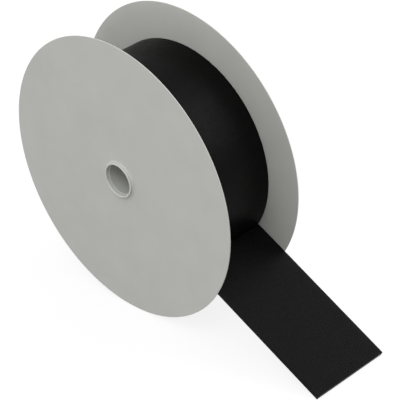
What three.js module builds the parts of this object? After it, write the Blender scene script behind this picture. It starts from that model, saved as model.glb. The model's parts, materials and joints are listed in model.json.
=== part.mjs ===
// A hook and loop tape roll: a reel with two thin flanges, the tape wound on it and its free tail.
// Millimetres, +Z up, the reel's axis along Y. The reel stands on its two rims, and the cut end of
// the tail rests on the same floor, at +X. The origin is on the floor, midway along the whole.
import * as THREE from "three";

// Clearances
const fitGap = 0.3;
const runningGap = 0.3;
const sideGap = 0.3;
const turnGap = 0.45;

// Tape: two woven tapes back to back, hooks on the side that faces the axis, loops outside
const tapeWidth = 50;
const hookLayer = 1.3;
const loopLayer = 1.3;

// Winding: the visible outer turn, and the stretch where the last turn climbs over its own start
const windingRadius = 61.2;
const rampAngle = THREE.MathUtils.degToRad(36);
const turnSteps = 96;

// Tail: its upper face runs past the axis at this distance and ends at this reach from the axis
const tailDrop = 5.44;
const tailReach = 159.3;
const peelBendRadius = 0.6;
const peelStub = 0.8;
const bendSteps = 6;
const rootLinkShare = 0.5;

// Flanges: thin discs with a flat on the floor
const flangeRadius = 82.5;
const flangeThickness = 0.7;
const flangeSides = 72;

// Hub: a tube through the reel, with a rounded collar on each end
const boreRadius = 8.7;
const arborWall = 1.5;
const arborRecess = 0.4;
const collarStep = 0.3;
const collarLap = 0.6;
const collarStand = 1.8;
const collarEdgeRadius = 0.8;
const collarEdgeMostShare = 0.45;
const edgeSteps = 4;
const hubSides = 48;

// Winding core: a paper tube that two spoked plugs hold round the hub
const coreRadius = 19.2;
const coreWall = 2.0;
const plugDepth = 14;
const plugHubWall = 1.4;
const plugRimWall = 1.2;
const plugSpoke = 2.2;
const plugWindows = 6;
const windowSteps = 6;

// Start strip: the double-sided strip that holds the tape's inner end on the core
const stripThickness = 0.4;
const stripWidth = 44;
const stripLength = 24;
const stripSteps = 12;

// Sizes that follow from these
const tapeThickness = hookLayer + loopLayer;
const halfGap = tapeWidth / 2 + sideGap;
const flangeFace = halfGap + flangeThickness;
const axisHeight = flangeRadius * Math.cos(Math.PI / flangeSides);
const arborRadius = boreRadius + arborWall;
const hubHoleRadius = arborRadius + runningGap;
const collarRadius = hubHoleRadius + collarLap;
const collarBoreRadius = boreRadius + collarStep;
const stripInnerRadius = coreRadius + fitGap;
const packBoreRadius = stripInnerRadius + stripThickness + fitGap;
const turnInnerRadius = windingRadius - tapeThickness;
const packRadius = turnInnerRadius - fitGap;

// The tail slopes down so that the lower edge of its cut end touches the floor
const tailUnderside = tailDrop + tapeThickness;
const tailSlope = Math.asin(axisHeight / Math.hypot(tailReach, tailUnderside))
  - Math.atan2(tailUnderside, tailReach);
const tailEndX = tailReach * Math.cos(tailSlope) - tailDrop * Math.sin(tailSlope);
const axisX = (axisHeight - tailEndX) / 2;

// The peel bend turns the tape from the winding's surface to the tail's plane
const peelInnerRadius = windingRadius + turnGap;
const bendOuterRadius = peelBendRadius + tapeThickness;
const bendCentreRadius = peelInnerRadius + bendOuterRadius;
const bendAngle = -Math.asin((tailDrop + bendOuterRadius) / bendCentreRadius);
const bendCentre = new THREE.Vector2(
  bendCentreRadius * Math.cos(bendAngle),
  bendCentreRadius * Math.sin(bendAngle),
);
const rootHingeX = bendCentre.x + peelStub + fitGap / 2;
const endHingeX = rootHingeX + (tailReach - rootHingeX) * rootLinkShare;

const reelGrey = new THREE.MeshStandardMaterial({ color: 0xadaea9, roughness: 0.6, metalness: 0 });
const hubGrey = new THREE.MeshStandardMaterial({ color: 0xb2b3ae, roughness: 0.45, metalness: 0 });
const plugGrey = new THREE.MeshStandardMaterial({ color: 0x8f908c, roughness: 0.6, metalness: 0 });
const corePaper = new THREE.MeshStandardMaterial({ color: 0xa58a66, roughness: 0.9, metalness: 0 });
const adhesive = new THREE.MeshStandardMaterial({ color: 0xd9d6c8, roughness: 0.5, metalness: 0 });
const hookBlack = new THREE.MeshStandardMaterial({ color: 0x1c1c1c, roughness: 0.8, metalness: 0 });
const loopBlack = new THREE.MeshStandardMaterial({ color: 0x151515, roughness: 0.95, metalness: 0 });

function polar(radius, angle) {
  return new THREE.Vector2(radius * Math.cos(angle), radius * Math.sin(angle));
}

function arcPoints(radius, from, to, steps, centre = new THREE.Vector2(0, 0)) {
  const points = [];
  for (let i = 0; i <= steps; i += 1) {
    points.push(polar(radius, from + ((to - from) * i) / steps).add(centre));
  }
  return points;
}

// A circle as a polygon with a flat side at the bottom
function circlePoints(radius, sides) {
  const half = Math.PI / sides;
  return arcPoints(radius, half - Math.PI / 2, half + Math.PI * 1.5, sides).slice(0, sides);
}

// An outline in X and Z, extruded along Y between two places
function slab(points, front, rear, holes = []) {
  const shape = new THREE.Shape(points);
  shape.holes = holes.map((hole) => new THREE.Path(hole));
  const geometry = new THREE.ExtrudeGeometry(shape, { depth: rear - front, bevelEnabled: false });
  geometry.rotateX(Math.PI / 2);
  geometry.translate(0, rear, 0);
  return geometry;
}

// A closed profile of radius and Y, turned about the axis
function ring(profile, sides) {
  return new THREE.LatheGeometry([...profile, profile[0]], sides, Math.PI / sides);
}

function tube(inner, outer, front, rear, sides) {
  return ring([
    new THREE.Vector2(inner, front),
    new THREE.Vector2(outer, front),
    new THREE.Vector2(outer, rear),
    new THREE.Vector2(inner, rear),
  ], sides);
}

function named(name, geometry, material) {
  const mesh = new THREE.Mesh(geometry, material);
  mesh.name = name;
  return mesh;
}

function flange(name, front) {
  const rim = circlePoints(flangeRadius, flangeSides);
  const hole = circlePoints(hubHoleRadius, hubSides);
  return named(name, slab(rim, front, front + flangeThickness, [hole]), reelGrey);
}

// The collar stands proud of the flange, and its neck passes the flange's hole to the tube's end
function frontCollar() {
  const face = -flangeFace - collarStand;
  const seat = -flangeFace - runningGap;
  const butt = -flangeFace + arborRecess;
  const wall = collarRadius - collarBoreRadius;
  const edge = Math.min(collarEdgeRadius, wall * collarEdgeMostShare, seat - face);
  const outerEdge = new THREE.Vector2(collarRadius - edge, face + edge);
  const innerEdge = new THREE.Vector2(collarBoreRadius + edge, face + edge);
  return ring([
    ...arcPoints(edge, Math.PI, Math.PI * 1.5, edgeSteps, innerEdge),
    ...arcPoints(edge, -Math.PI / 2, 0, edgeSteps, outerEdge),
    new THREE.Vector2(collarRadius, seat),
    new THREE.Vector2(arborRadius, seat),
    new THREE.Vector2(arborRadius, butt),
    new THREE.Vector2(collarBoreRadius, butt),
  ], hubSides);
}

// A plug: hub ring, rim ring and spokes between the windows
function plug(name, front) {
  const rimRadius = coreRadius - coreWall - fitGap;
  const windowInner = hubHoleRadius + plugHubWall;
  const windowOuter = rimRadius - plugRimWall;
  const pitch = (Math.PI * 2) / plugWindows;
  const holes = [circlePoints(hubHoleRadius, hubSides)];
  for (let i = 0; i < plugWindows; i += 1) {
    const middle = pitch * i;
    const outerHalf = pitch / 2 - plugSpoke / 2 / windowOuter;
    const innerHalf = pitch / 2 - plugSpoke / 2 / windowInner;
    holes.push([
      ...arcPoints(windowOuter, middle - outerHalf, middle + outerHalf, windowSteps),
      ...arcPoints(windowInner, middle + innerHalf, middle - innerHalf, windowSteps),
    ]);
  }
  const rim = circlePoints(rimRadius, hubSides);
  return named(name, slab(rim, front, front + plugDepth, holes), plugGrey);
}

function startStrip() {
  const outerRadius = stripInnerRadius + stripThickness;
  const half = stripLength / 2 / stripInnerRadius;
  const outline = [
    ...arcPoints(outerRadius, -half, half, stripSteps),
    ...arcPoints(stripInnerRadius, half, -half, stripSteps),
  ];
  return named("start_strip", slab(outline, -stripWidth / 2, stripWidth / 2), adhesive);
}

// How far the climb has risen, from 0 to 1, at an angle counted from the peel
function climb(angle) {
  const along = Math.max(0, (angle - (Math.PI * 2 - rampAngle)) / rampAngle);
  return (1 - Math.cos(Math.PI * along)) / 2;
}

// The turns below the outer one, with the step where the outer turn begins
function innerTurns() {
  const outline = [];
  for (let i = 0; i <= turnSteps; i += 1) {
    const angle = (Math.PI * 2 * i) / turnSteps;
    const radius = packRadius + (windingRadius - packRadius) * climb(angle);
    outline.push(polar(radius, bendAngle + angle));
  }
  const hole = circlePoints(packBoreRadius, hubSides);
  const geometry = slab(outline, -tapeWidth / 2, tapeWidth / 2, [hole]);
  return named("inner_turns", geometry, loopBlack);
}

// One face of the wound strip, at a depth counted outward from the face that looks at the axis
function turnFace(depth) {
  const start = fitGap / packRadius;
  const points = [];
  for (let i = 0; i <= turnSteps; i += 1) {
    const angle = start + ((Math.PI * 2 - start) * i) / turnSteps;
    const rise = (tapeThickness + turnGap) * climb(angle);
    points.push(polar(turnInnerRadius + rise + depth, bendAngle + angle));
  }
  const bendRadius = bendOuterRadius - depth;
  const bend = arcPoints(bendRadius, Math.PI + bendAngle, Math.PI / 2, bendSteps, bendCentre);
  points.push(...bend.slice(1));
  points.push(new THREE.Vector2(bendCentre.x + peelStub, -tailDrop - depth));
  return points;
}

function outerTurn(name, innerDepth, outerDepth, material) {
  const outline = [...turnFace(outerDepth), ...turnFace(innerDepth).reverse()];
  return named(name, slab(outline, -tapeWidth / 2, tapeWidth / 2), material);
}

// The least distance between the first half turn's outer face and the last half turn's inner face
function leastTurnGap() {
  const starts = turnFace(tapeThickness).slice(0, turnSteps / 2);
  const ends = turnFace(0).slice(turnSteps / 2 + 1);
  let least = Infinity;
  for (const a of starts) {
    for (const b of ends) {
      least = Math.min(least, a.distanceTo(b));
    }
  }
  return least;
}

function tailLayer(name, from, to, upperDepth, lowerDepth, material) {
  const outline = [
    new THREE.Vector2(from, -tailDrop - lowerDepth),
    new THREE.Vector2(to, -tailDrop - lowerDepth),
    new THREE.Vector2(to, -tailDrop - upperDepth),
    new THREE.Vector2(from, -tailDrop - upperDepth),
  ];
  return named(name, slab(outline, -tapeWidth / 2, tapeWidth / 2), material);
}

// A link of the tail: the hooks lie on its upper face and the loops on its lower face
function tailLink(name, from, to) {
  const link = new THREE.Group();
  link.add(tailLayer(`${name}_hook`, from, to, 0, hookLayer, hookBlack));
  link.add(tailLayer(`${name}_loop`, from, to, hookLayer, tapeThickness, loopBlack));
  return link;
}

const hub = new THREE.Group();
hub.add(named("arbor_tube", tube(boreRadius, arborRadius,
  arborRecess - flangeFace, flangeFace - arborRecess, hubSides), hubGrey));
hub.add(named("front_collar", frontCollar(), hubGrey));
const rearCollar = named("rear_collar", frontCollar(), hubGrey);
rearCollar.rotation.z = Math.PI;
hub.add(rearCollar);

const reel = new THREE.Group();
reel.add(flange("front_flange", -flangeFace));
reel.add(flange("rear_flange", halfGap));
reel.add(named("winding_core",
  tube(coreRadius - coreWall, coreRadius, -halfGap, halfGap, hubSides), corePaper));
reel.add(plug("front_core_plug", -halfGap));
reel.add(plug("rear_core_plug", halfGap - plugDepth));
reel.add(startStrip());

// The tape is drawn with its tail along X, then turned down by the tail's slope
const tape = new THREE.Group();
tape.rotation.y = tailSlope;
tape.add(innerTurns());
tape.add(outerTurn("outer_turn_hook", 0, hookLayer, hookBlack));
tape.add(outerTurn("outer_turn_loop", hookLayer, tapeThickness, loopBlack));
tape.add(tailLink("tail_root", rootHingeX + fitGap / 2, endHingeX - fitGap / 2));
tape.add(tailLink("tail_end", endHingeX + fitGap / 2, tailReach));

const roll = new THREE.Group();
roll.position.set(axisX, 0, axisHeight);
roll.add(hub, reel, tape);
console.log(`least gap of the outer turn to itself: ${leastTurnGap().toFixed(3)} mm`);

export default roll;
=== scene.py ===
# %% [markdown]
# # A roll of hook and loop tape
#
# The real object is a reel for haberdashery: two thin discs of light grey plastic sheet, a small
# collared tube through their middle, and about five metres of black tape wound between them. The
# tape is two woven tapes glued back to back. One carries stiff hooks, the other a soft pile of
# loops, so each turn grips the turn below it and the free end has to be peeled off.
#
# This lesson dresses a finished construction model. The construction says where every piece is and
# how it turns. The lesson adds the fine shapes and the finishes, one piece at a time.

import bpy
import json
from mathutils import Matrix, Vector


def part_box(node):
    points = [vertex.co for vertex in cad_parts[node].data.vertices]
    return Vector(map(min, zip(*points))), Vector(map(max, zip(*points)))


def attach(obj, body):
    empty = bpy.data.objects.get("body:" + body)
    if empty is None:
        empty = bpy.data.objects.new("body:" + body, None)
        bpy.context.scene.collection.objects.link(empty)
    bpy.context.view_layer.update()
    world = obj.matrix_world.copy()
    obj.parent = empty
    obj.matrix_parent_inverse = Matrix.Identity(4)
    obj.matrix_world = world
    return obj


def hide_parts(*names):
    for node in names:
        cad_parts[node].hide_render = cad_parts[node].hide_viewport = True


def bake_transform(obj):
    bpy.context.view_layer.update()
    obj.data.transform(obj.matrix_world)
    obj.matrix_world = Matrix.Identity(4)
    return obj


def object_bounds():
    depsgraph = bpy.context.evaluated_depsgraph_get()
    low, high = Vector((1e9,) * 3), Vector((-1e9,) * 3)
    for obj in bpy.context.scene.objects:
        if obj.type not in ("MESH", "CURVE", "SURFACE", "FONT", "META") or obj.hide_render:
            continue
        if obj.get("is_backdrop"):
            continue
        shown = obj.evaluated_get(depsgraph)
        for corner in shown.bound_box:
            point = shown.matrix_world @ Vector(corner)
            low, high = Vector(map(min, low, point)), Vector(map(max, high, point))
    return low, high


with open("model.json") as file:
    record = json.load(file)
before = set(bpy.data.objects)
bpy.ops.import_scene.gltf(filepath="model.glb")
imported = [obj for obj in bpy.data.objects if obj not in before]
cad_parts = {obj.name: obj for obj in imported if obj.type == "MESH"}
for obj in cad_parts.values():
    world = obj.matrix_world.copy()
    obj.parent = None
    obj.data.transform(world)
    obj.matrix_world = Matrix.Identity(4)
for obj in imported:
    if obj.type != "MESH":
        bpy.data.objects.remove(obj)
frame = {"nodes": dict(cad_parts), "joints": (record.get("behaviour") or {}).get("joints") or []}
construction_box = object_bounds()

# %% [markdown]
# ## Places that everything shares
#
# Three joints fix the whole layout: the axis that the reel turns on, the line where the tape is
# peeled off the roll, and a bend halfway along the free end. The free end, here called the tail,
# runs straight between the last two, so the line through them gives its slope. All the tape work
# is then done in two numbers, along the tail and up from it, measured from the axis. One function
# turns these into a place in the room.

# %% The axis and the tail's own directions
import json
import math

import bmesh
import bpy
import numpy as np
from mathutils import Quaternion, Vector, noise

mm = 0.001
joint_places = {joint["name"]: Vector(joint["pos_m"]) for joint in frame["joints"]}
axis_point = joint_places["reel_spin"]
peel_pivot = joint_places["tail_peel"]
bend_pivot = joint_places["tail_bend"]
along_tail = (bend_pivot - peel_pivot).normalized()
across_tape = Vector((0, 1, 0))
up_from_tail = along_tail.cross(across_tape)


def in_room(along, up, across):
    """Places in the room, from distances along the tail, up from it and across the tape."""
    along, up, across = (np.asarray(value)[..., None] for value in (along, up, across))
    return (
        np.array(axis_point) + along * np.array(along_tail)
        + up * np.array(up_from_tail) + across * np.array(across_tape)
    )


def along_of(point):
    """How far along the tail a place in the room is, counted from the axis."""
    return (point - axis_point).dot(along_tail)


print(f"the tail slopes down by {math.degrees(math.asin(-along_tail.z)):.2f} degrees")

# %% [markdown]
# ## The camera
#
# The picture is taken with a long lens from the right and above, with the camera leaning a little
# to one side. Instead of a place and three angles, the camera is held by what it looks at: an aim
# point inside the winding, on the tail's side, the two angles it is seen from, the lean and the
# distance. A reader can change any one of these and still have the roll in view.

# %% Set the camera
aim_point = Vector((13.35, -6.79, 75.59)) * mm
camera_azimuth = math.radians(47.724)
camera_elevation = math.radians(31.074)
camera_lean = math.radians(5.163)
camera_distance = 1052.75 * mm
sensor_width_mm = 36
lens_length_mm = 178.64

camera = bpy.data.objects.new("camera", bpy.data.cameras.new("camera"))
camera.data.sensor_width = sensor_width_mm
camera.data.lens = lens_length_mm
towards_camera = Vector((
    math.sin(camera_azimuth) * math.cos(camera_elevation),
    -math.cos(camera_azimuth) * math.cos(camera_elevation),
    math.sin(camera_elevation),
))
camera.location = aim_point + towards_camera * camera_distance
camera.rotation_mode = "QUATERNION"
level = (-towards_camera).to_track_quat("-Z", "Y")
camera.rotation_quaternion = level @ Quaternion((0, 0, 1), -camera_lean)
bpy.context.scene.collection.objects.link(camera)
bpy.context.scene.camera = camera
print("camera at", [round(value, 3) for value in camera.location])

# %% [markdown]
# ## Colours and nodes
#
# Every colour in this lesson is written the way a paint chart gives it, as a hex value. Blender
# mixes light in linear numbers, so one function translates. A second small function adds a node,
# sets its values and joins its links. With these two, a material reads like a list of what its
# surface does.

# %% Two helpers for materials
sRGB_toe = 0.04045
sRGB_toe_slope = 12.92
sRGB_offset = 0.055
sRGB_power = 2.4
full_channel = 255


def linear(hex_colour):
    """The linear RGBA of an sRGB hex colour."""
    channels = [int(hex_colour[i:i + 2], 16) / full_channel for i in (0, 2, 4)]
    return tuple(
        value / sRGB_toe_slope if value <= sRGB_toe
        else ((value + sRGB_offset) / (1 + sRGB_offset)) ** sRGB_power
        for value in channels
    ) + (1,)


def add_node(tree, kind, settings=(), links=()):
    """Adds a node, sets its inputs, its own options or its colour stops, and links its inputs."""
    node = tree.nodes.new(kind)
    for key, value in dict(settings).items():
        if key == "stops":
            for stop, (position, hex_colour) in zip(node.color_ramp.elements, value):
                stop.position = position
                stop.color = linear(hex_colour)
        elif isinstance(key, int) or key in node.inputs:
            node.inputs[key].default_value = value
        else:
            setattr(node, key, value)
    for key, source in dict(links).items():
        tree.links.new(source, node.inputs[key])
    return node


def new_material(name):
    """An empty node material and its node tree."""
    material = bpy.data.materials.new(name)
    material.use_nodes = True
    material.node_tree.nodes.clear()
    return material, material.node_tree


print("grey ADAEA9 is", [round(value, 3) for value in linear("ADAEA9")], "in linear numbers")

# %% [markdown]
# A pattern has a real size. These two turn a size in millimetres into the scale that Blender's
# noise and wave textures want, because the textures count in metres here.

# %% Pattern scales from real sizes
wave_radians_at_scale_one = 20


def noise_scale(size_mm):
    """The noise or cell texture scale whose blobs are about this many millimetres."""
    return 1 / (size_mm * mm)


def wave_scale(spacing_mm):
    """The wave texture scale whose bands are this many millimetres apart."""
    return 2 * math.pi / (wave_radians_at_scale_one * spacing_mm * mm)


print("a 1 mm noise needs scale", noise_scale(1), "and a 1 mm wave", round(wave_scale(1), 1))

# %% [markdown]
# ## Flange plastic: high-impact polystyrene sheet
#
# The two discs are die cut from thin polystyrene sheet that was rolled with a fine matt texture.
# To the eye it is one even light grey without a clear reflection. Close up there are three things:
# a grain finer than a millimetre, faint clouds in the colour where the filler isn't quite even, and
# a softer gloss where hands have rubbed it. The real grain is about 0.3 mm. It is drawn at 0.9 mm
# here, because anything finer falls between the picture's pixels.

# %% Make the flange plastic
cloud_mm = 24
rubbed_patch_mm = 9
drawn_grain_mm = 0.9

flange_plastic, tree = new_material("polystyrene_sheet_matt_rolled")
place = add_node(tree, "ShaderNodeTexCoord").outputs["Object"]
clouds, rubbed, grain = (
    add_node(tree, "ShaderNodeTexNoise", {"Scale": noise_scale(size_mm), "Detail": detail}, {"Vector": place})
    for size_mm, detail in ((cloud_mm, 3), (rubbed_patch_mm, 4), (drawn_grain_mm, 2))
)
tint = add_node(
    tree, "ShaderNodeValToRGB", {"stops": ((0.3, "B0B1AC"), (0.7, "B4B5B0"))},
    {"Fac": clouds.outputs["Fac"]},
)
gloss = add_node(
    tree, "ShaderNodeMapRange",
    {"From Min": 0.35, "From Max": 0.65, "To Min": 0.52, "To Max": 0.66},
    {"Value": rubbed.outputs["Fac"]},
)
relief = add_node(
    tree, "ShaderNodeBump", {"Strength": 0.12, "Distance": 0.1 * mm}, {"Height": grain.outputs["Fac"]},
)
surface = add_node(
    tree, "ShaderNodeBsdfPrincipled", {"IOR": 1.59, "Specular IOR Level": 0.3},
    {
        "Base Color": tint.outputs["Color"], "Roughness": gloss.outputs["Result"],
        "Normal": relief.outputs["Normal"],
    },
)
add_node(tree, "ShaderNodeOutputMaterial", links={"Surface": surface.outputs["BSDF"]})
print("made", flange_plastic.name)

# %% [markdown]
# ## Hub plastic: moulded polypropylene
#
# The collars and the tube between them are injection moulded. The collars are painted a shade
# lighter than the discs, a painted light that brightens their rounded lip, and are a little
# smoother, so that the lip catches a soft light. The tube is painted a darker grey, a painted shade
# for the depth of its bore. The hidden plugs are moulded with more ground-up scrap in them, which
# makes them greyer. Mouldings like these show a fine spark-eroded texture and almost no change of
# colour. That texture is about 0.1 mm on the real one, and is drawn at 0.5 to 0.6 mm, about a pixel
# of the picture.

# %% Make the hub plastic
flow_mm = 7


def make_moulded_plastic(name, shade, deep_shade, roughness, grain_mm):
    material, tree = new_material(name)
    place = add_node(tree, "ShaderNodeTexCoord").outputs["Object"]
    flow, grain = (
        add_node(tree, "ShaderNodeTexNoise", {"Scale": noise_scale(size_mm), "Detail": 2}, {"Vector": place})
        for size_mm in (flow_mm, grain_mm)
    )
    tint = add_node(
        tree, "ShaderNodeValToRGB", {"stops": ((0.3, deep_shade), (0.7, shade))},
        {"Fac": flow.outputs["Fac"]},
    )
    relief = add_node(
        tree, "ShaderNodeBump", {"Strength": 0.15, "Distance": 0.06 * mm}, {"Height": grain.outputs["Fac"]},
    )
    surface = add_node(
        tree, "ShaderNodeBsdfPrincipled",
        {"IOR": 1.49, "Roughness": roughness, "Specular IOR Level": 0.45},
        {"Base Color": tint.outputs["Color"], "Normal": relief.outputs["Normal"]},
    )
    add_node(tree, "ShaderNodeOutputMaterial", links={"Surface": surface.outputs["BSDF"]})
    return material


# The collars' grey is a shade lighter than the discs': painted light that brightens their lip.
collar_plastic_painted_light = make_moulded_plastic(
    "polypropylene_moulded_satin_painted_light", shade="BABBB6", deep_shade="B7B8B3", roughness=0.37, grain_mm=0.5,
)
# The tube's darker grey is painted shade for the depth of its bore.
tube_plastic_painted_shade = make_moulded_plastic(
    "polypropylene_moulded_painted_shade", shade="AAABA7", deep_shade="A7A8A4", roughness=0.4, grain_mm=0.5,
)
plug_plastic = make_moulded_plastic(
    "polystyrene_moulded_regrind", shade="92938F", deep_shade="8A8B87", roughness=0.55, grain_mm=0.6,
)
print("made", collar_plastic_painted_light.name, tube_plastic_painted_shade.name, plug_plastic.name)

# %% [markdown]
# ## Core board: spiral-wound kraft paper
#
# Under the tape is a paper tube, hidden by the discs. Such tubes are wound from strips of brown
# kraft paper at a slant, so a thin dark seam runs round them like the stripe on a barber's pole.
# The place along the tube plus a share of the angle round it is the same number all along such a
# seam, so counting that number in strip widths finds them all.

# %% Find the seams of the spiral
ply_width = 38 * mm
seam_width = 0.4 * mm


def seams_of_spiral(tree, place):
    """1 on the seams between the strips of paper, 0 away from them."""
    from_axis = add_node(
        tree, "ShaderNodeVectorMath",
        {"operation": "SUBTRACT", 1: tuple(axis_point)}, {0: place},
    )
    parts = add_node(tree, "ShaderNodeSeparateXYZ", links={"Vector": from_axis.outputs["Vector"]})
    angle = add_node(
        tree, "ShaderNodeMath", {"operation": "ARCTAN2"}, {0: parts.outputs["Z"], 1: parts.outputs["X"]},
    )
    turn = add_node(
        tree, "ShaderNodeMath",
        {"operation": "MULTIPLY", 1: ply_width / (2 * math.pi)}, {0: angle.outputs["Value"]},
    )
    slant = add_node(
        tree, "ShaderNodeMath", {"operation": "ADD"}, {0: parts.outputs["Y"], 1: turn.outputs["Value"]},
    )
    ply = add_node(
        tree, "ShaderNodeMath", {"operation": "PINGPONG", 1: ply_width / 2}, {0: slant.outputs["Value"]},
    )
    seam = add_node(
        tree, "ShaderNodeMapRange",
        {"From Min": 0, "From Max": seam_width, "To Min": 1, "To Max": 0}, {"Value": ply.outputs["Value"]},
    )
    return seam.outputs["Result"]


print(f"the seams come every {ply_width / mm:.0f} mm along the tube")

# %% [markdown]
# A Mix node has a pair of inputs and an output for each kind of value that it can mix. They share
# their names, so they are reached by their places, which get plain names here.

# %% Make the core board
mix_share = 0
number_a = 2
number_b = 3
mixed_number = 0
colour_a = 6
colour_b = 7
mixed_colour = 2
fibre_mm = 1.6

core_board, tree = new_material("kraft_board_spiral_wound")
place = add_node(tree, "ShaderNodeTexCoord").outputs["Object"]
fibres = add_node(
    tree, "ShaderNodeTexNoise",
    {"Scale": noise_scale(fibre_mm), "Detail": 5, "Distortion": 0.6}, {"Vector": place},
)
paper = add_node(
    tree, "ShaderNodeValToRGB", {"stops": ((0.3, "99805D"), (0.7, "B0946E"))},
    {"Fac": fibres.outputs["Fac"]},
)
seamed = add_node(
    tree, "ShaderNodeMix", {"data_type": "RGBA", colour_b: linear("6E5A3F")},
    {mix_share: seams_of_spiral(tree, place), colour_a: paper.outputs["Color"]},
)
relief = add_node(
    tree, "ShaderNodeBump", {"Strength": 0.4, "Distance": 0.1 * mm}, {"Height": fibres.outputs["Fac"]},
)
surface = add_node(
    tree, "ShaderNodeBsdfPrincipled", {"Roughness": 0.92, "Specular IOR Level": 0.2},
    {"Base Color": seamed.outputs[mixed_colour], "Normal": relief.outputs["Normal"]},
)
add_node(tree, "ShaderNodeOutputMaterial", links={"Surface": surface.outputs["BSDF"]})
print("made", core_board.name)

# %% [markdown]
# ## Start strip: double-sided acrylic tape
#
# A short strip of double-sided tape holds the first turn on the paper tube. It is hidden too. Its
# acrylic glue is cream coloured, a little glossy, and mottled with tiny bubbles.

# %% Make the acrylic strip
bubble_mm = 1.1

acrylic_strip, tree = new_material("acrylic_glue_on_tissue")
place = add_node(tree, "ShaderNodeTexCoord").outputs["Object"]
bubbles = add_node(tree, "ShaderNodeTexVoronoi", {"Scale": noise_scale(bubble_mm)}, {"Vector": place})
tint = add_node(
    tree, "ShaderNodeValToRGB", {"stops": ((0, "CFCBBB"), (0.5, "DDDACC"))},
    {"Fac": bubbles.outputs["Distance"]},
)
relief = add_node(
    tree, "ShaderNodeBump", {"Strength": 0.3, "Distance": 0.08 * mm},
    {"Height": bubbles.outputs["Distance"]},
)
surface = add_node(
    tree, "ShaderNodeBsdfPrincipled", {"IOR": 1.47, "Roughness": 0.38},
    {"Base Color": tint.outputs["Color"], "Normal": relief.outputs["Normal"]},
)
add_node(tree, "ShaderNodeOutputMaterial", links={"Surface": surface.outputs["BSDF"]})
print("made", acrylic_strip.name)

# %% [markdown]
# ## Three black nylons
#
# The tape is all black nylon, in three states:
#
# - The loop side is a pile of fine loops, brushed so that they stand in all directions. It is the
#   darkest of the three, because light goes in between the fibres and doesn't come out.
# - The ground of the hook side is a dense flat weave. It is drawn with warp and weft 0.8 mm apart,
#   about twice the real spacing, so that it still shows.
# - The hooks are single thick filaments, cut and left as tiny crooks. They are smooth, so each one
#   has its own small glint.
#
# Nylon itself is fairly glossy, but on a cloth only the tops of the fibres mirror the room, and what
# falls between them is lost. So all three have a weak reflection, and on the two cloths the tops of
# the tufts and yarns are a little smoother than the hollows. The hollows of the two cloths are also
# painted a little darker, a painted shade. That gives the deep black of the picture, with soft
# lights where the tape faces the sky.
#
# The patterns follow the tape, not the room: each point of the tape mesh stores its place on the
# flat tape, across, along and deep. A pattern that reads it stays put when the tape bends.

# %% Make the loop pile
flat_place = "flat_place"
nylon_ior = 1.53
hollow_roughness = 0.46
top_roughness = 0.32
brushed_tuft_mm = 1.3
nap_mm = 11
loop_mm = 0.9

loop_pile, tree = new_material("nylon_loop_pile_brushed")
place = add_node(tree, "ShaderNodeAttribute", {"attribute_name": flat_place}).outputs["Vector"]
tufts = add_node(
    tree, "ShaderNodeTexNoise",
    {"Scale": noise_scale(brushed_tuft_mm), "Detail": 5, "Roughness": 0.65}, {"Vector": place},
)
nap = add_node(tree, "ShaderNodeTexNoise", {"Scale": noise_scale(nap_mm), "Detail": 3}, {"Vector": place})
both = add_node(
    tree, "ShaderNodeMix", {"data_type": "FLOAT", mix_share: 0.35},
    {number_a: tufts.outputs["Fac"], number_b: nap.outputs["Fac"]},
)
# The colour follows mostly the tufts' height, darker where they dip, a painted shade in the pile's hollows,
# and partly the nap's random tone.
tint = add_node(
    tree, "ShaderNodeValToRGB", {"stops": ((0.35, "060606"), (0.65, "0C0C0C"))},
    {"Fac": both.outputs[mixed_number]},
)
smoothness = add_node(
    tree, "ShaderNodeMapRange",
    {"From Min": 0.35, "From Max": 0.65, "To Min": hollow_roughness, "To Max": top_roughness},
    {"Value": both.outputs[mixed_number]},
)
loops = add_node(
    tree, "ShaderNodeTexVoronoi", {"Scale": noise_scale(loop_mm), "feature": "SMOOTH_F1"},
    {"Vector": place},
)
height = add_node(
    tree, "ShaderNodeMath", {"operation": "SUBTRACT"},
    {0: tufts.outputs["Fac"], 1: loops.outputs["Distance"]},
)
relief = add_node(
    tree, "ShaderNodeBump", {"Strength": 0.3, "Distance": 0.25 * mm}, {"Height": height.outputs["Value"]},
)
surface = add_node(
    tree, "ShaderNodeBsdfPrincipled", {"IOR": nylon_ior, "Specular IOR Level": 0.045},
    {
        "Base Color": tint.outputs["Color"], "Roughness": smoothness.outputs["Result"],
        "Normal": relief.outputs["Normal"],
    },
)
add_node(tree, "ShaderNodeOutputMaterial", links={"Surface": surface.outputs["BSDF"]})
print("made", loop_pile.name)

# %% Make the hook tape's woven ground
weave_spacing_mm = 0.8
fluff_mm = 6

woven_ground, tree = new_material("nylon_ground_weave")
place = add_node(tree, "ShaderNodeAttribute", {"attribute_name": flat_place}).outputs["Vector"]
yarns = [
    add_node(
        tree, "ShaderNodeTexWave",
        {
            "Scale": wave_scale(weave_spacing_mm), "bands_direction": direction,
            "Distortion": 0.4, "Detail": 1,
        },
        {"Vector": place},
    ).outputs["Fac"]
    for direction in ("X", "Y")
]
over_under = add_node(tree, "ShaderNodeMath", {"operation": "MULTIPLY"}, {0: yarns[0], 1: yarns[1]})
fluff = add_node(
    tree, "ShaderNodeTexNoise", {"Scale": noise_scale(fluff_mm), "Detail": 4}, {"Vector": place},
)
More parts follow.
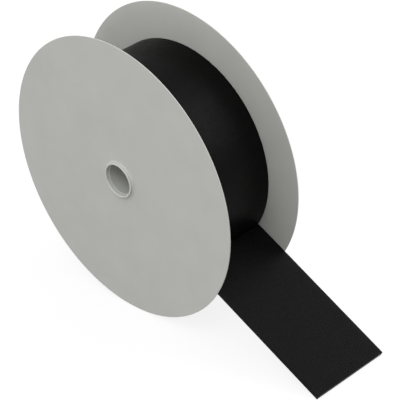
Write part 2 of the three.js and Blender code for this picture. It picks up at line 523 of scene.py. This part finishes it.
# The colour follows half the yarns' height, darker where they dip, a painted shade between the yarns, and
# half the fluff's random tone.
shade = add_node(
    tree, "ShaderNodeMix", {"data_type": "FLOAT", mix_share: 0.5},
    {number_a: over_under.outputs["Value"], number_b: fluff.outputs["Fac"]},
)
tint = add_node(
    tree, "ShaderNodeValToRGB", {"stops": ((0.2, "090909"), (0.75, "0F0F0F"))},
    {"Fac": shade.outputs[mixed_number]},
)
smoothness = add_node(
    tree, "ShaderNodeMapRange",
    {"From Min": 0.1, "From Max": 0.8, "To Min": hollow_roughness, "To Max": top_roughness},
    {"Value": over_under.outputs["Value"]},
)
relief = add_node(
    tree, "ShaderNodeBump", {"Strength": 0.4, "Distance": 0.2 * mm},
    {"Height": over_under.outputs["Value"]},
)
surface = add_node(
    tree, "ShaderNodeBsdfPrincipled", {"IOR": nylon_ior, "Specular IOR Level": 0.046},
    {
        "Base Color": tint.outputs["Color"], "Roughness": smoothness.outputs["Result"],
        "Normal": relief.outputs["Normal"],
    },
)
add_node(tree, "ShaderNodeOutputMaterial", links={"Surface": surface.outputs["BSDF"]})
print("made", woven_ground.name)

# %% Make the hook filament
dye_mm = 4

hook_filament, tree = new_material("nylon_monofilament_drawn")
place = add_node(tree, "ShaderNodeAttribute", {"attribute_name": flat_place}).outputs["Vector"]
dye = add_node(tree, "ShaderNodeTexNoise", {"Scale": noise_scale(dye_mm), "Detail": 2}, {"Vector": place})
tint = add_node(
    tree, "ShaderNodeValToRGB", {"stops": ((0.35, "090909"), (0.65, "0F0F0F"))},
    {"Fac": dye.outputs["Fac"]},
)
surface = add_node(
    tree, "ShaderNodeBsdfPrincipled", {"IOR": nylon_ior, "Roughness": 0.36, "Specular IOR Level": 0.048},
    {"Base Color": tint.outputs["Color"]},
)
add_node(tree, "ShaderNodeOutputMaterial", links={"Surface": surface.outputs["BSDF"]})
print("made", hook_filament.name)

# %% [markdown]
# ## Turned pieces: discs, collars and tube
#
# The discs, the collars and the tube are all bodies of revolution. Blender has a screw modifier for
# that, but a few lines of mesh code keep full control of the edges. A piece is a closed outline of
# radius and place across, with a rounding at each corner, swept round the axis. Short straight
# margins beside each rounding keep the flat faces flat in the shading.

# %% Helpers for meshes
smooth_angle = math.radians(40)


def add_piece(name, points, faces, material):
    """A smooth shaded mesh object with its faces turned outwards."""
    mesh = bpy.data.meshes.new(name)
    mesh.from_pydata(np.asarray(points).tolist(), [], faces)
    mesh.materials.append(material)
    surface = bmesh.new()
    surface.from_mesh(mesh)
    bmesh.ops.recalc_face_normals(surface, faces=surface.faces)
    surface.to_mesh(mesh)
    surface.free()
    mesh.shade_smooth()
    mesh.set_sharp_from_angle(angle=smooth_angle)
    piece = bpy.data.objects.new(name, mesh)
    bpy.context.scene.collection.objects.link(piece)
    print(f"{name}: {len(mesh.vertices)} points, {len(mesh.polygons)} faces")
    return piece


def swept_faces(rings, sides, closed):
    """The faces of a skin over rings of points, joined end to end or capped."""
    faces = []
    for i in range(rings if closed else rings - 1):
        here, there = i * sides, (i + 1) % rings * sides
        for j in range(sides):
            k = (j + 1) % sides
            faces.append((here + j, here + k, there + k, there + j))
    if not closed:
        faces.append(tuple(reversed(range(sides))))
        faces.append(tuple(range((rings - 1) * sides, rings * sides)))
    return faces


print(f"edges of more than {math.degrees(smooth_angle):.0f} degrees stay sharp")

# %% Helpers for turned pieces
corner_steps = 6
turned_steps = 256


def rounded_outline(corners, margin):
    """A closed outline of (radius, across) from corners of (radius, across, rounding)."""
    outline = []
    for i, (radius, across, rounding) in enumerate(corners):
        here = Vector((radius, across))
        back = (Vector(corners[i - 1][:2]) - here).normalized()
        ahead = (Vector(corners[(i + 1) % len(corners)][:2]) - here).normalized()
        half_angle = back.angle(ahead) / 2
        setback = rounding / math.tan(half_angle)
        centre = here + (back + ahead).normalized() * (rounding / math.sin(half_angle))
        first = here + back * setback - centre
        last = here + ahead * setback - centre
        outline.append(here + back * (setback + margin))
        for step in range(corner_steps + 1):
            outline.append(centre + first.slerp(last, step / corner_steps).normalized() * rounding)
        outline.append(here + ahead * (setback + margin))
    return outline


def turned_piece(name, outline, material):
    """A closed outline of (radius, across), swept round the reel's axis."""
    radius, across = np.array(outline).T
    angles = np.arange(turned_steps)[:, None] * (2 * math.pi / turned_steps)
    points = np.stack([radius * np.cos(angles), across + 0 * angles, radius * np.sin(angles)], axis=-1)
    faces = swept_faces(turned_steps, len(outline), closed=True)
    return add_piece(name, points.reshape(-1, 3) + np.array(axis_point), faces, material)


print(f"{turned_steps} steps round the axis, {corner_steps} round each corner")

# %% [markdown]
# The discs reach from the hub's hole to the floor: their rim touches it, so its radius is the
# height of the axis. The sheet is only half a millimetre thick, so next to nothing of its edge
# shows over the tape. A punch cuts such a sheet with slightly rolled edges, which keep the rim from
# looking like a knife's.

# %% Make the two flange discs
reel_ends = {"front": -1, "rear": 1}
disc_thickness = 0.5 * mm
hub_hole_radius = 10.5 * mm
rim_radius = axis_point.z
rim_rounding = 0.2 * mm
hole_rounding = 0.12 * mm
flat_margin = 0.04 * mm
flange_face = -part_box("front_flange")[0].y

for side, sign in reel_ends.items():
    outside = sign * flange_face
    inside = sign * (flange_face - disc_thickness)
    disc = turned_piece(
        f"{side}_flange_disc",
        rounded_outline([
            (hub_hole_radius, outside, hole_rounding),
            (rim_radius, outside, rim_rounding),
            (rim_radius, inside, rim_rounding),
            (hub_hole_radius, inside, hole_rounding),
        ], flat_margin),
        flange_plastic,
    )
    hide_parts(f"{side}_flange")
    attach(disc, "reel")

# %% [markdown]
# The collar is what shows of the hub. A low base ring lies on the disc, and a narrow lip stands up
# from it, 1.8 mm proud of the disc. Both have rounded edges, so the picture shows two light bands on
# their upper right side and a shaded line between them lower down. The collar's neck goes through
# the disc to the end of the tube. The tube's bore is a little narrower than the collar's, and this
# step shows as one more fine ring inside.

# %% Make the collars
collar_radius = 11.1 * mm
lip_radius = 10.25 * mm
collar_bore_radius = 9.12 * mm
neck_radius = 10.2 * mm
base_height = 0.4 * mm
seat_gap = 0.03 * mm
lip_rounding = 0.5 * mm
base_rounding = 0.32 * mm
seat_rounding = 0.02 * mm
small_rounding = 0.08 * mm
hub_margin = 0.02 * mm

collar_face = -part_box("front_collar")[0].y
tube_end = -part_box("arbor_tube")[0].y
seat = flange_face + seat_gap
base = flange_face + base_height
butt = tube_end + seat_gap

for side, sign in reel_ends.items():
    ring = turned_piece(
        f"{side}_collar_ring",
        rounded_outline([
            (collar_bore_radius, sign * collar_face, lip_rounding),
            (lip_radius, sign * collar_face, lip_rounding),
            (lip_radius, sign * base, small_rounding),
            (collar_radius, sign * base, base_rounding),
            (collar_radius, sign * seat, seat_rounding),
            (neck_radius, sign * seat, small_rounding),
            (neck_radius, sign * butt, small_rounding),
            (collar_bore_radius, sign * butt, small_rounding),
        ], hub_margin),
        collar_plastic_painted_light,
    )
    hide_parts(f"{side}_collar")
    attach(ring, "arbor")

# %% Make the tube
bore_radius = 8.7 * mm
bore_rounding = 0.3 * mm

# Its darker grey is painted shade inside the bore.
bush = turned_piece(
    "arbor_bush",
    rounded_outline([
        (bore_radius, -tube_end, bore_rounding),
        (neck_radius, -tube_end, small_rounding),
        (neck_radius, tube_end, small_rounding),
        (bore_radius, tube_end, bore_rounding),
    ], hub_margin),
    tube_plastic_painted_shade,
)
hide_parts("arbor_tube")
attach(bush, "arbor")

# %% [markdown]
# ## The hidden pieces
#
# The paper tube, its two spoked plugs and the start strip have their true shape already, so they
# stay as they are and only get their finish.

# %% Finish the hidden pieces
hidden_finishes = {
    "winding_core": core_board,
    "front_core_plug": plug_plastic,
    "rear_core_plug": plug_plastic,
    "start_strip": acrylic_strip,
}
for node_name, finish in hidden_finishes.items():
    node = frame["nodes"][node_name]
    node.data.materials.clear()
    node.data.materials.append(finish)
print("finished", sorted(hidden_finishes))

# %% [markdown]
# ## The way of the tape
#
# The tape is one strip from the paper tube to its cut end, and it is made as one: a line that
# carries a flat cross-section. The line is the face with the hooks. It runs in nearly true circles,
# and in the last part of each turn it climbs by one turn's thickness, over the place where the turn
# began. At the end of the last turn the tape breaks away from the roll in a sharp fold and runs
# straight to the floor.
#
# On the roll the tape is pulled tight: its hooks sink into the loops below and the pile is pressed
# flat, so that a turn takes up less than the tape's own thickness. Nineteen such turns fill the
# winding that the picture shows, with about five metres of tape.

# %% The tape's sizes
tape_half_width = 25.4 * mm
hook_ground = 1.2 * mm
loop_tape = 1.24 * mm
tape_body = hook_ground + loop_tape
hook_height = 0.6 * mm
hooks_above_pivot = 0.5 * mm
turns = 19
winding_radius = 61.2 * mm
innermost_radius = 20.2 * mm
turn_pitch = (winding_radius - innermost_radius) / turns
wound_gap = 0.02 * mm
wound_thickness = turn_pitch - wound_gap
climb_angle = math.radians(36)
print(f"{turns} turns, {turn_pitch / mm:.3f} mm apart, of tape {tape_body / mm:.2f} mm thick")

# %% Where the tail and the fold lie
fold_inner_radius = 0.4 * mm
fold_outer_radius = 0.7 * mm

tail_face = (peel_pivot - axis_point).dot(up_from_tail) + hooks_above_pivot - hook_height
tip_along = max(along_of(v.co) for v in frame["nodes"]["tail_end_hook"].data.vertices)
fold_side = fold_inner_radius + tape_body
fold_up = tail_face - fold_side
fold_distance = winding_radius + wound_gap + fold_side
peel_angle = math.asin(fold_up / fold_distance)
fold_along = fold_distance * math.cos(peel_angle)
print(f"the peel is {math.degrees(peel_angle):.1f} degrees round from the tail's own direction")

# %% Lay out the turns
def climb(share_of_turn):
    """How far the line has climbed, from 0 to 1, at a share of a turn."""
    start = 1 - climb_angle / (2 * math.pi)
    along = np.clip((share_of_turn - start) / (1 - start), 0, 1)
    return (1 - np.cos(math.pi * along)) / 2


def wound_line(first_turn, last_turn, steps_a_turn):
    """The line between two counts of turns, where 0 is at the peel and -1 a turn before it."""
    count = round((last_turn - first_turn) * steps_a_turn)
    counted = np.linspace(first_turn, last_turn, count + 1)
    below = np.maximum(np.ceil(-counted) - 1, 0)
    share = counted + below + 1
    radius = winding_radius - wound_thickness - turn_pitch * (below - climb(share))
    angle = peel_angle + 2 * math.pi * counted
    return np.stack([radius * np.cos(angle), radius * np.sin(angle)], axis=-1)


halfway_up = 1 - climb_angle / (4 * math.pi)
print(f"halfway up, the line has risen by {climb(halfway_up):.2f} of a turn's thickness")

# %% Directions and distances along a line
def directions_through(line):
    """Unit directions from the line's points towards the loop side."""
    units = np.diff(line, axis=0)
    units /= np.linalg.norm(units, axis=1)[:, None]
    tangents = np.vstack([units[:1], units[:-1] + units[1:], units[-1:]])
    tangents /= np.linalg.norm(tangents, axis=1)[:, None]
    return np.stack([tangents[:, 1], -tangents[:, 0]], axis=-1)


def stations_of(line, through, start_distance=0):
    """The line, the way through the tape at each of its points, and the distances along it."""
    lengths = np.linalg.norm(np.diff(line, axis=0), axis=1)
    return line, through, start_distance + np.concatenate([[0], np.cumsum(lengths)])


inner_steps = 96
inner_line = wound_line(-turns, -1, inner_steps)
inner_stations = stations_of(inner_line, directions_through(inner_line) * wound_thickness)
print(f"inner turns: {inner_stations[2][-1]:.4f} m of tape")

# %% [markdown]
# The fold is a corner of thick cloth. Its hook side is the outside of the corner, nearly sharp. Its
# loop side is the inside, where the pile is squeezed. Both sides are roundings of one corner seen
# from the same centre, so they can be laid out spoke by spoke. The spokes stand closer together in
# the middle, where the outside turns.

# %% The fold
fold_steps = 24
half_turn = (math.pi / 2 + peel_angle) / 2
corner_along = fold_along - fold_side * math.tan(half_turn)


def fold_sides():
    """The points of the fold's hook side and those of its loop side."""
    spread = np.linspace(-1, 1, fold_steps + 1)
    from_middle = half_turn * spread * np.abs(spread)
    angle = math.pi / 2 + half_turn - from_middle
    spokes = np.stack([np.cos(angle), np.sin(angle)], axis=-1)
    off_middle = np.abs(from_middle)
    straight = fold_side / np.cos(half_turn - off_middle)
    centre_reach = (fold_side - fold_outer_radius) / math.cos(half_turn)
    aside = centre_reach * np.sin(off_middle)
    rounded = centre_reach * np.cos(off_middle) + np.sqrt(np.maximum(fold_outer_radius ** 2 - aside ** 2, 0))
    tangent_angle = math.atan((1 - fold_outer_radius / fold_side) * math.tan(half_turn))
    reach = np.where(off_middle < half_turn - tangent_angle, rounded, straight)
    centre = np.array([fold_along, fold_up])
    return centre + spokes * reach[:, None], centre + spokes * fold_inner_radius


hook_side, loop_side = fold_sides()
print(f"the fold's sharp edge is {corner_along / mm:.2f} mm from the axis, along the tail")

# %% [markdown]
# The outer turn, the fold and the tail are one line, so that the tape runs on without a seam. Just
# before the peel the tape is let go and swells from its wound thickness to its own.

# %% Join the parts of the line
turn_steps = 400
tail_spacing = 0.8 * mm
swelling_share = 0.03

outer_line = wound_line(-1, 0, turn_steps)
swelling = np.clip(1 - (1 - np.linspace(0, 1, turn_steps + 1)) / swelling_share, 0, 1)
outer_thickness = wound_thickness + (tape_body - wound_thickness) * swelling ** 2 * (3 - 2 * swelling)
outer_through = directions_through(outer_line) * outer_thickness[:, None]

tail_steps = round((tip_along - fold_along) / tail_spacing)
tail_places = np.linspace(fold_along, tip_along, tail_steps + 1)
tail_line = np.stack([tail_places, np.full_like(tail_places, tail_face)], axis=-1)
tail_through = directions_through(tail_line) * tape_body

free_line = np.concatenate([outer_line, hook_side[1:], tail_line[1:]])
free_through = np.concatenate([outer_through, (loop_side - hook_side)[1:], tail_through[1:]])
free_stations = stations_of(free_line, free_through, inner_stations[2][-1])
print(f"the line from the outer turn to the cut end has {len(free_line)} points")

# %% Cut the line where the tape's pieces meet
seam_before_peel = 4 * mm
near_end = (along_of(peel_pivot) + along_of(bend_pivot)) / 2
turn_end = turn_steps - round(seam_before_peel / (2 * math.pi * winding_radius) * turn_steps)
tail_start = turn_steps + fold_steps
near_last = tail_start + int(np.searchsorted(free_line[tail_start:, 0], near_end))


def part_of_line(first, last):
    """The stations of the free line from one to another, both among them."""
    return tuple(values[first:last + 1] for values in free_stations)


line_parts = {
    "outer_turn": part_of_line(0, turn_end),
    "tail_near": part_of_line(turn_end, near_last),
    "tail_far": part_of_line(near_last, len(free_line) - 1),
}
for part_name, stations in line_parts.items():
    print(f"{part_name}: {stations[2][-1] - stations[2][0]:.4f} m of tape")

# %% [markdown]
# The cross-section of each of the two tapes is a flat rectangle with rounded edges, where the weft
# turns back. Two such tapes on each other leave the fine groove that runs along the edge of the
# real one. On the loop side each point is also moved in or out by a few hundredths of a millimetre,
# so that the pile has an uneven surface and not only a printed one.

# %% The cross-section
edge_rounding_steps = 3
edge_rounding_share = 0.26


def flat_profile(half_width, near, far, columns):
    """A closed outline of (across, depth) with rounded edges, depth counted from the hook face."""
    rounding = (far - near) * edge_rounding_share
    reach = half_width - rounding
    across = np.linspace(-reach, reach, columns + 1)
    turn = np.linspace(0, math.pi / 2, edge_rounding_steps + 1)[1:]
    out = reach + rounding * np.sin(turn)
    deep = near + rounding * (1 - np.cos(turn))
    edge = np.concatenate([
        np.stack([out, deep], axis=-1),
        np.stack([out, near + far - deep], axis=-1)[::-1],
    ])
    return np.concatenate([
        np.stack([across, near + 0 * across], axis=-1),
        edge,
        np.stack([across[::-1], far + 0 * across], axis=-1),
        edge[::-1] * (-1, 1),
    ])


print(f"the hook tape's edge is rounded by {hook_ground * edge_rounding_share / mm:.2f} mm")

# %% The uneven pile
pile_unevenness = 0.08 * mm
pile_tuft_mm = 2.2
pile_seed = 4.7


def pile_offset(flat, far):
    """How far each point of the loop face stands in or out."""
    offset = np.zeros(len(flat))
    for i in np.nonzero(flat[:, 2] >= far)[0]:
        offset[i] = noise.noise(Vector(flat[i]) * noise_scale(pile_tuft_mm) + Vector((0, 0, pile_seed)))
    return offset * pile_unevenness


print(f"the pile stands in or out by {pile_unevenness / mm:.2f} mm at most")

# %% Sweep a tape along a part of the line
def store_flat_place(piece, flat):
    """Stores where each point lies on the flat tape, for the materials to read."""
    stored = piece.data.attributes.new(flat_place, "FLOAT_VECTOR", "POINT")
    stored.data.foreach_set("vector", np.asarray(flat, np.float32).ravel())


def tape_piece(name, stations, near, far, columns, material, piled=False):
    """A tape between two depths, swept along the stations, and its length."""
    places, through, distances = stations
    profile = flat_profile(tape_half_width, near, far, columns)
    rings, sides = len(places), len(profile)
    across = np.tile(profile[:, 0], rings)
    depth = np.tile(profile[:, 1], rings)
    flat = np.stack([across, np.repeat(distances, sides), depth], axis=-1)
    if piled:
        depth = depth + pile_offset(flat, far)
    spots = np.repeat(places, sides, axis=0) + np.repeat(through / tape_body, sides, axis=0) * depth[:, None]
    points = in_room(spots[:, 0], spots[:, 1], across)
    piece = add_piece(name, points, swept_faces(rings, sides, closed=False), material)
    store_flat_place(piece, flat)
    return piece, distances[-1] - distances[0]


# %% [markdown]
# The turns below the outer one hide each other, so they are one plain strip of nearly four and a
# half metres. The outer turn and the tail are made as the two tapes that they are. The tail is cut
# in two pieces where it lies straight, one for each joint that it crosses: the near piece crosses the
# peel, the far one the bend halfway along. Their ends share the same points, so the cut doesn't show.

# %% Make the turns below the outer one
hidden_columns = 4

inner_piece, inner_length = tape_piece(
    "wound_turns", inner_stations, 0, tape_body, hidden_columns, loop_pile,
)
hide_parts("inner_turns")
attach(inner_piece, "reel")

# %% Say how the tape follows the joints
peel_spread = 3.2 * mm
bend_spread = 9 * mm
crossings = {
    "tail_near": (("reel", "tail_root"), peel_pivot, peel_spread),
    "tail_far": (("tail_root", "tail_end"), bend_pivot, bend_spread),
}


def follow(piece, part_name):
    """Rides the piece on the reel, or, where its part of the line crosses a joint, bakes its place into its
    points.
    """
    if part_name not in crossings:
        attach(piece, "reel")
        return
    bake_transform(piece)


for part_name, (bodies, pivot, spread) in crossings.items():
    print(f"{part_name} bends from {bodies[0]} to {bodies[1]} over {2 * spread / mm:.1f} mm")

# %% Make the outer turn and the tail
loop_columns = 56
ground_columns = 40
stood_for = {"outer_turn": "outer_turn", "tail_near": "tail_root", "tail_far": "tail_end"}
tape_layers = {
    "hook": (0, hook_ground, ground_columns, woven_ground, False),
    "loop": (hook_ground, tape_body, loop_columns, loop_pile, True),
}
for part_name, stations in line_parts.items():
    for layer, (near, far, columns, finish, piled) in tape_layers.items():
        piece, length = tape_piece(
            f"{part_name}_{layer}_tape", stations, near, far, columns, finish, piled,
        )
        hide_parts(f"{stood_for[part_name]}_{layer}")
        follow(piece, part_name)

# %% [markdown]
# ## The hooks
#
# The hooks are what makes this tape more than a black ribbon. Each is a filament just under 0.2 mm
# thick that comes up through the weave and turns over into a crook. They stand in rows, every other
# row set half a step aside, and their crooks face left and right in turn. One hook is made as a
# thin tube with four sides. All the others are copies of its points, each turned and leaned a
# little by a seeded random draw, which is quick and gives the same tape every time.

# %% One hook
filament_radius = 0.09 * mm
crook_radius = 0.15 * mm
stem_height = hook_height - crook_radius - filament_radius
root_depth = 0.2 * mm
crook_angle = math.radians(205)
crook_steps = 5
filament_sides = 4


def hook_template():
    """The points of one hook as (across, up, along), ring by ring, and how many rings."""
    turn = np.linspace(0, crook_angle, crook_steps + 1)
    crook = np.stack([
        crook_radius - crook_radius * np.cos(turn),
        stem_height + crook_radius * np.sin(turn),
    ], axis=-1)
    middle = np.concatenate([[[0, -root_depth]], crook])
    facing = np.concatenate([[[1, 0]], np.stack([np.cos(turn), -np.sin(turn)], axis=-1)])
    rings = []
    for (across, up), (out_across, out_up) in zip(middle, facing):
        for side in range(filament_sides):
            angle = 2 * math.pi * (side + 1 / 2) / filament_sides
            out, aside = filament_radius * math.cos(angle), filament_radius * math.sin(angle)
            rings.append((across + out_across * out, up + out_up * out, aside))
    return np.array(rings), len(middle)


one_hook, hook_rings = hook_template()
print(f"one hook has {len(one_hook)} points and stands {one_hook[:, 1].max() / mm:.2f} mm high")

# %% Where the hooks stand
hook_pitch_across = 1.25 * mm
hook_pitch_along = 1.6 * mm
bare_selvedge = 2.1 * mm
bare_cut_end = 0.6 * mm
bare_at_fold = 1.2 * mm


def hook_places(first_along, last_along):
    """The across, the along and the way round of each hook on a stretch, in rows from the cut end."""
    reach = tape_half_width - bare_selvedge
    columns = int(2 * reach / hook_pitch_across)
    places = []
    for row in range(int((tip_along - first_along) / hook_pitch_along) + 1):
        along = tip_along - bare_cut_end - row * hook_pitch_along
        if first_along <= along < last_along:
            aside = hook_pitch_across / 2 * (row % 2)
            for column in range(columns):
                places.append((-reach + aside + column * hook_pitch_across, along, column % 2))
    return np.array(places)


hook_stretches = {
    "tail_near": (corner_along + bare_at_fold, near_end),
    "tail_far": (near_end, tip_along),
}
for part_name, stretch in hook_stretches.items():
    print(f"{len(hook_places(*stretch))} hooks will stand on {part_name}")

# %% Plant the hooks
wander = 0.28 * mm
yaw_spread = math.radians(18)
lean_spread = math.radians(9)
hook_seed = 11
hook_draw = np.random.default_rng(hook_seed)


def plant_hooks(name, first_along, last_along):
    """A copy of the one hook at each place, turned and leaned by the draw."""
    places = hook_places(first_along, last_along)
    count = len(places)
    spots = places[:, :2] + hook_draw.uniform(-wander, wander, (count, 2))
    yaw = math.pi * places[:, 2] + hook_draw.uniform(-yaw_spread, yaw_spread, count)
    lean = hook_draw.uniform(-lean_spread, lean_spread, count)
    across, up, along = (one_hook[:, i][None, :] for i in range(3))
    leaned = along + np.sin(lean)[:, None] * up
    turned_across = across * np.cos(yaw)[:, None] - leaned * np.sin(yaw)[:, None] + spots[:, :1]
    turned_along = across * np.sin(yaw)[:, None] + leaned * np.cos(yaw)[:, None] + spots[:, 1:]
    height = np.cos(lean)[:, None] * up
    points = in_room(turned_along, tail_face + height, turned_across).reshape(-1, 3)
    one = np.array(swept_faces(hook_rings, filament_sides, closed=False))
    faces = (one[None] + len(one_hook) * np.arange(count)[:, None, None]).reshape(-1, filament_sides)
    piece = add_piece(name, points, faces.tolist(), hook_filament)
    distance = free_stations[2][-1] - (tip_along - turned_along)
    store_flat_place(piece, np.stack([turned_across, distance, -height], axis=-1))
    return piece


hooks = {}
for part_name, stretch in hook_stretches.items():
    hooks[part_name] = plant_hooks(f"{part_name}_hooks", *stretch)
    follow(hooks[part_name], part_name)

# %% [markdown]
# ## The studio
#
# The picture has a pure white background and light from all around, most of it from above. The world
# gives that even light, and three soft lamps, in metres and watts, add a little direction:
#
# - The front lamp stands high on the camera's side. It shines into the hub's bore from above and
#   draws the collar's lip.
# - The low lamp stands level with the roll, straight in front. Only what faces it gains: the near
#   disc, and the ring where the collar ends and the tube begins. The far disc is in the near one's
#   shadow, so it stays the darker of the two.
# - The back lamp stands where the winding and the tail mirror it to the camera, and gives the black
#   tape its broad soft lights. The far disc keeps it off the tape beside it, which stays dark.
#
# The floor is plain paper. As a source of light it is a dark grey, which sends little light up to the
# roll. To the camera, and to whatever mirrors it, it is nearly white, and most of it glows at full
# white, so that only a faint soft shadow stays under the roll. The world is split in the same way.
# One function tells the two kinds of ray apart.

# %% Tell the rays that show the surroundings from those that light the roll
def shows_surroundings(tree):
    """1 for rays that show the surroundings, straight, mirrored or through glass, 0 for the others."""
    ray = add_node(tree, "ShaderNodeLightPath")
    mirrored = add_node(
        tree, "ShaderNodeMath", {"operation": "MAXIMUM"},
        {0: ray.outputs["Is Camera Ray"], 1: ray.outputs["Is Glossy Ray"]},
    )
    through_glass = add_node(
        tree, "ShaderNodeMath", {"operation": "MAXIMUM"},
        {0: mirrored.outputs["Value"], 1: ray.outputs["Is Transmission Ray"]},
    )
    return through_glass.outputs["Value"]


# %% Make the floor's paper
floor_glow_share = 0.85
paper_cloud_mm = 60

floor_paper, tree = new_material("studio_paper_matt")
place = add_node(tree, "ShaderNodeTexCoord").outputs["Object"]
fibres = add_node(
    tree, "ShaderNodeTexNoise", {"Scale": noise_scale(paper_cloud_mm), "Detail": 2}, {"Vector": place},
)
tint = add_node(
    tree, "ShaderNodeValToRGB", {"stops": ((0, "F0F0F0"), (1, "F4F4F4"))},
    {"Fac": fibres.outputs["Fac"]},
)
white_paper = add_node(tree, "ShaderNodeBsdfDiffuse", links={"Color": tint.outputs["Color"]})
glow = add_node(tree, "ShaderNodeEmission", {"Color": linear("FFFFFF"), "Strength": 1})
seen = add_node(
    tree, "ShaderNodeMixShader",
    {0: floor_glow_share}, {1: white_paper.outputs["BSDF"], 2: glow.outputs["Emission"]},
)
grey_paper = add_node(tree, "ShaderNodeBsdfDiffuse", {"Color": linear("6C6C6C")})
surface = add_node(
    tree, "ShaderNodeMixShader",
    links={0: shows_surroundings(tree), 1: grey_paper.outputs["BSDF"], 2: seen.outputs["Shader"]},
)
add_node(tree, "ShaderNodeOutputMaterial", links={"Surface": surface.outputs["Shader"]})
print("made", floor_paper.name)

# %% Lay the floor
floor_size = 12
floor_below = 0.02 * mm
half = floor_size / 2
floor_corners = [(x * half, y * half, -floor_below) for x, y in ((-1, -1), (1, -1), (1, 1), (-1, 1))]
floor = add_piece("studio_floor", floor_corners, [(0, 1, 2, 3)], floor_paper)
floor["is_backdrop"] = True

# %% Place the lamps
soft_lamps = {
    "front_lamp": {"place": (0.5, -0.85, 1.25), "size": 0.9, "power": 7.2},
    "low_lamp": {"place": (-0.15, -1.5, 0.16), "size": 0.3, "power": 2.5},
    "back_lamp": {"place": (0.7, 0.95, 0.98), "size": 1.4, "power": 12},
}

for lamp_name, lamp_plan in soft_lamps.items():
    lamp = bpy.data.objects.new(lamp_name, bpy.data.lights.new(lamp_name, "AREA"))
    lamp.data.shape = "DISK"
    lamp.data.size = lamp_plan["size"]
    lamp.data.energy = lamp_plan["power"]
    lamp.location = Vector(lamp_plan["place"])
    lamp.rotation_mode = "QUATERNION"
    lamp.rotation_quaternion = (aim_point - lamp.location).to_track_quat("-Z", "Y")
    bpy.context.scene.collection.objects.link(lamp)
print("placed", sorted(soft_lamps))

# %% Light the world
dome_strength = 1.07
world = bpy.data.worlds.new("studio")
world.use_nodes = True
sky_tree = world.node_tree
sky_tree.nodes.clear()
dome, seen = (
    add_node(sky_tree, "ShaderNodeBackground", {"Color": linear("FFFFFF"), "Strength": strength})
    for strength in (dome_strength, 1)
)
sky = add_node(
    sky_tree, "ShaderNodeMixShader",
    links={0: shows_surroundings(sky_tree), 1: dome.outputs["Background"], 2: seen.outputs["Background"]},
)
add_node(sky_tree, "ShaderNodeOutputWorld", links={"Surface": sky.outputs["Shader"]})
bpy.context.scene.world = world
bpy.context.scene.view_settings.view_transform = "Standard"
print("the dome lights the roll at", dome_strength)

# %% [markdown]
# ## Measure
#
# The dressed roll has to fill the same box as the construction, so both boxes are measured and their sizes
# printed.

# %% Print the sizes of both boxes
dressed_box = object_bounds()
boxes = {
    "construction": [list(corner) for corner in construction_box],
    "dressed": [list(corner) for corner in dressed_box],
}
for box_name, (low, high) in boxes.items():
    print(box_name, [round((b - a) / mm, 2) for a, b in zip(low, high)], "mm")
